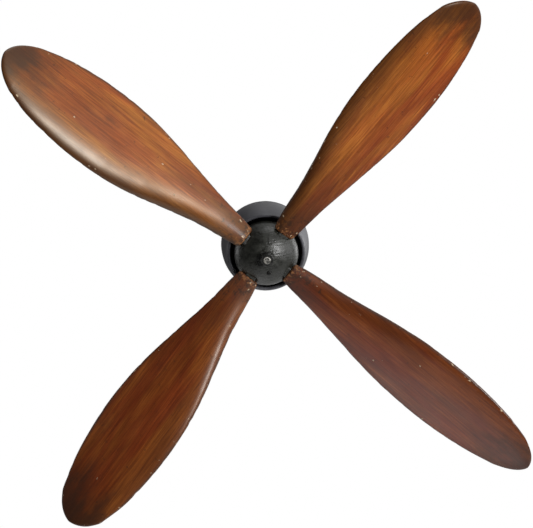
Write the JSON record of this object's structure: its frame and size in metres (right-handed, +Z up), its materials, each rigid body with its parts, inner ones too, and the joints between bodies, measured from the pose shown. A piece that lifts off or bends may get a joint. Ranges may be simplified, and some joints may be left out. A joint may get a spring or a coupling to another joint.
{
  "type": "wooden propeller",
  "caption": "Decorative aircraft propeller: pitched wooden blades on a round black hub that spins on a deep bowl-shaped wall mount.",
  "frame": {"origin": "on the hub axis, in the plane of the wall that the back plate rests on", "axes": "+Y into the wall along the hub axis, so the propeller faces -Y; +Z up; +X to the right as seen from the front"},
  "size_m": [0.7919, 0.1676, 0.802],
  "materials": {
    "cup_black": "satin black paint over spun steel, worn at the rims",
    "hub_black": "rough black paint over cast iron, semi-gloss, chipped to pale metal at the edges",
    "nut_black": "black paint, chipped to pale metal",
    "steel": "plain machined steel",
    "bronze": "plain bearing bronze",
    "blade_wood": "reddish brown stained wood under satin varnish, darkened tips, roots and edges, small chips"
  },
  "bodies": {
    "wall_mount": {"back_plate": "cup_black", "bearing_housing": "hub_black", "housing_screws": "steel", "rear_bush": "bronze", "front_bush": "bronze", "wall_cup": "cup_black", "cup_screws": "nut_black"},
    "propeller": {"shaft": "nut_black", "thrust_washer": "steel", "spinner_backplate": "cup_black", "backplate_screws": "steel", "hub_core": "hub_black", "dome": "hub_black", "dome_screw": "nut_black", "lock_washer": "nut_black", "front_nut": "nut_black", "blade_studs": "steel", "blade_dowels": "steel", "blade_1": "blade_wood", "blade_2": "blade_wood", "blade_3": "blade_wood", "blade_4": "blade_wood"}
  },
  "joints": [
    {"name": "propeller_spin", "type": "hinge", "parent": "wall_mount", "child": "propeller", "pos_m": [0, -0.06, 0], "axis": [0, -1, 0], "continuous": true}
  ]
}
